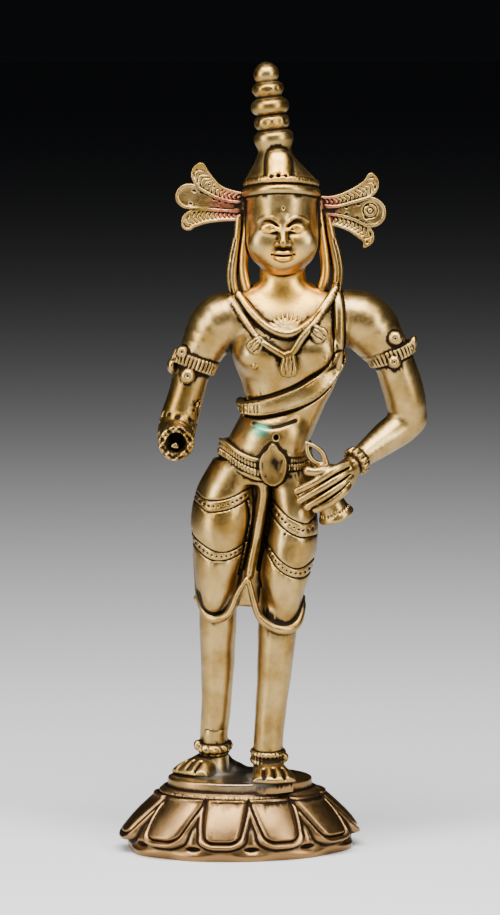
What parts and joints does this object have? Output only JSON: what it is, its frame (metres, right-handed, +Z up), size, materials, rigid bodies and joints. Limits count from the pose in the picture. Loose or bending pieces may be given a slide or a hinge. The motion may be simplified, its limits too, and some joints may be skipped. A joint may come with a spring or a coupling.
{
  "type": "standing bronze figure",
  "caption": "Small cast brass standing figure with a spired headdress, a bell held at its left hip and a broken right forearm, in one piece with its oval lotus plinth.",
  "frame": {"origin": "middle of the plinth's flat underside", "axes": "+Z up through the figure, the figure faces -Y, +X to its left"},
  "size_m": [0.0686, 0.0362, 0.1781],
  "materials": {
    "brass": "worn cast brass with dark brown patina in the recesses and remains of gilding"
  },
  "bodies": {
    "root": {"figure_on_lotus_plinth": "brass"}
  },
  "joints": []
}
